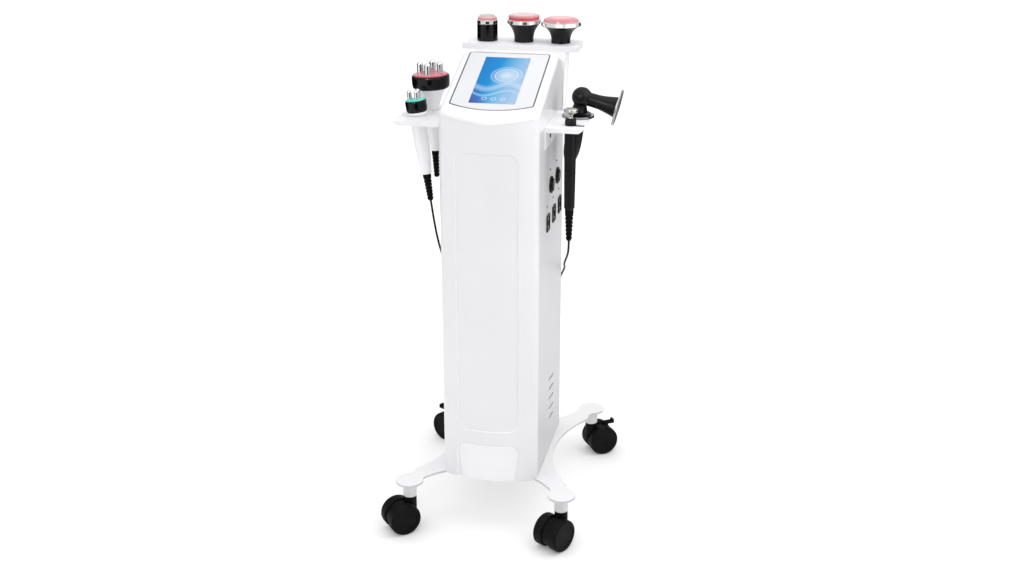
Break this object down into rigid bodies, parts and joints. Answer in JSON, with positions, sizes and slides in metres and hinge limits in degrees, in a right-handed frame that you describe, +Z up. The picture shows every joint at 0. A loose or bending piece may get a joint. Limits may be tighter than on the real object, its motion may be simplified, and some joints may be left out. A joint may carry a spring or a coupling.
{
  "type": "radio frequency slimming machine",
  "caption": "Upright beauty trolley with a sloping touch screen, side shelves, a rear rack of radio frequency and ultrasound handpieces, and a swivel caster base.",
  "frame": {"origin": "floor level, at the middle of the footprint of the machine without its free handpiece leads", "axes": "+Z up, the screen faces -Y, +X to the viewer's right"},
  "size_m": [0.5094, 0.595, 1.1295],
  "materials": {
    "white_steel": "satin white powder coat",
    "white_moulding": "satin white painted moulding",
    "black_plastic": "soft black",
    "black_rubber": "matt black rubber",
    "grey_gasket": "grey seal",
    "screen_glass": "lit touch screen",
    "chrome": "polished",
    "teal_ring": "pale teal",
    "pink_ring": "pale pink",
    "steel_inner": "zinc plated sheet",
    "green_board": "circuit boards and their parts",
    "lamp": "indicator lens"
  },
  "bodies": {
    "root": {"base_plate": "white_steel", "caster_collars": "white_steel", "cabinet_shell": "white_steel", "back_panel": "white_steel", "front_cover": "white_moulding", "head_cover": "white_moulding", "screen_gasket": "grey_gasket", "screen_fascia": "white_moulding", "lcd_panel": "screen_glass", "rack_tray": "white_steel", "right_shelf": "white_steel", "left_shelf": "white_steel", "holder_ring": "chrome", "side_sockets": "black_plastic", "socket_lamps": "lamp", "panel_screws": "chrome", "power_inlet": "black_plastic", "fan_frame": "black_plastic", "cord_glands": "black_plastic", "equipment_deck": "steel_inner", "power_supply": "steel_inner", "driver_boards": "green_board", "small_rf_cord": "black_rubber", "face_rf_cord": "black_rubber"},
    "caster_front_left": {"caster_hood_front_left": "black_plastic"},
    "wheels_front_left": {"caster_wheels_front_left": "black_rubber"},
    "caster_front_right": {"caster_hood_front_right": "black_plastic"},
    "wheels_front_right": {"caster_wheels_front_right": "black_rubber"},
    "caster_rear_left": {"caster_hood_rear_left": "black_plastic"},
    "wheels_rear_left": {"caster_wheels_rear_left": "black_rubber"},
    "brake_rear_left": {"brake_pedal_rear_left": "black_plastic"},
    "caster_rear_right": {"caster_hood_rear_right": "black_plastic"},
    "wheels_rear_right": {"caster_wheels_rear_right": "black_rubber"},
    "brake_rear_right": {"brake_pedal_rear_right": "black_plastic"},
    "rocker": {"rocker_switch": "black_plastic"},
    "fan": {"fan_rotor": "black_plastic"},
    "small_rf": {"small_rf_handle": "white_moulding", "small_rf_band": "black_plastic", "small_rf_face": "teal_ring", "small_rf_electrodes": "chrome", "small_rf_relief": "black_rubber"},
    "large_rf": {"large_rf_handle": "white_moulding", "large_rf_band": "black_plastic", "large_rf_face": "pink_ring", "large_rf_electrodes": "chrome", "large_rf_relief": "black_rubber"},
    "face_rf": {"face_rf_handle": "black_plastic", "face_rf_cap": "chrome", "face_rf_relief": "black_rubber"},
    "ball_head": {"ball_head_grip": "black_plastic", "ball_head_disc": "chrome"},
    "narrow_head": {"narrow_head_body": "black_plastic", "narrow_head_ring": "chrome", "narrow_head_lens": "pink_ring"},
    "raised_head": {"raised_head_body": "black_plastic", "raised_head_ring": "chrome", "raised_head_lens": "pink_ring"},
    "wide_head": {"wide_head_body": "black_plastic", "wide_head_ring": "chrome", "wide_head_lens": "pink_ring"}
  },
  "joints": [
    {"name": "swivel_front_left", "type": "hinge", "parent": "root", "child": "caster_front_left", "pos_m": [-0.18589, -0.22871, 0.084], "axis": [0, 0, 1], "continuous": true},
    {"name": "roll_front_left", "type": "hinge", "parent": "caster_front_left", "child": "wheels_front_left", "pos_m": [-0.20504, -0.24478, 0.0375], "axis": [0.6428, -0.766, 0], "continuous": true},
    {"name": "swivel_front_right", "type": "hinge", "parent": "root", "child": "caster_front_right", "pos_m": [0.17011, -0.22871, 0.084], "axis": [0, 0, 1], "continuous": true},
    {"name": "roll_front_right", "type": "hinge", "parent": "caster_front_right", "child": "wheels_front_right", "pos_m": [0.15761, -0.25036, 0.0375], "axis": [0.866, -0.5, 0], "continuous": true},
    {"name": "swivel_rear_left", "type": "hinge", "parent": "root", "child": "caster_rear_left", "pos_m": [-0.18589, 0.23829, 0.084], "axis": [0, 0, 1], "continuous": true},
    {"name": "roll_rear_left", "type": "hinge", "parent": "caster_rear_left", "child": "wheels_rear_left", "pos_m": [-0.20754, 0.25079, 0.0375], "axis": [-0.5, -0.866, 0], "continuous": true},
    {"name": "brake_rear_left", "type": "hinge", "parent": "caster_rear_left", "child": "brake_rear_left", "pos_m": [-0.22053, 0.25829, 0.0735], "axis": [-0.5, -0.866, 0], "range_deg": [0, 12]},
    {"name": "swivel_rear_right", "type": "hinge", "parent": "root", "child": "caster_rear_right", "pos_m": [0.17011, 0.23829, 0.084], "axis": [0, 0, 1], "continuous": true},
    {"name": "roll_rear_right", "type": "hinge", "parent": "caster_rear_right", "child": "wheels_rear_right", "pos_m": [0.19132, 0.25154, 0.0375], "axis": [-0.5299, 0.848, 0], "continuous": true},
    {"name": "brake_rear_right", "type": "hinge", "parent": "caster_rear_right", "child": "brake_rear_right", "pos_m": [0.20404, 0.25949, 0.0735], "axis": [-0.5299, 0.848, 0], "range_deg": [0, 12]},
    {"name": "power_rocker", "type": "hinge", "parent": "root", "child": "rocker", "pos_m": [-0.06589, 0.14279, 0.20392], "axis": [1, 0, 0], "range_deg": [-8, 8]},
    {"name": "fan_spin", "type": "hinge", "parent": "root", "child": "fan", "pos_m": [0.03711, 0.13129, 0.42], "axis": [0, 1, 0], "continuous": true},
    {"name": "small_rf_lift", "type": "slide", "parent": "root", "child": "small_rf", "axis": [-0.1305, 0, 0.9914], "range_m": [0, 0.23], "deforming": ["small_rf_cord"]},
    {"name": "large_rf_lift", "type": "slide", "parent": "root", "child": "large_rf", "axis": [-0.0436, 0, 0.999], "range_m": [0, 0.19]},
    {"name": "face_rf_lift", "type": "slide", "parent": "root", "child": "face_rf", "axis": [1, 0, 0], "range_m": [0, 0.09], "deforming": ["face_rf_cord"]},
    {"name": "ball_head_lift", "type": "slide", "parent": "root", "child": "ball_head", "axis": [0.1736, 0, 0.9848], "range_m": [0, 0.15]},
    {"name": "narrow_head_lift", "type": "slide", "parent": "root", "child": "narrow_head", "axis": [0, 0, 1], "range_m": [0, 0.18]},
    {"name": "raised_head_lift", "type": "slide", "parent": "root", "child": "raised_head", "axis": [0, 0, 1], "range_m": [0, 0.18]},
    {"name": "wide_head_lift", "type": "slide", "parent": "root", "child": "wide_head", "axis": [0, 0, 1], "range_m": [0, 0.18]}
  ]
}
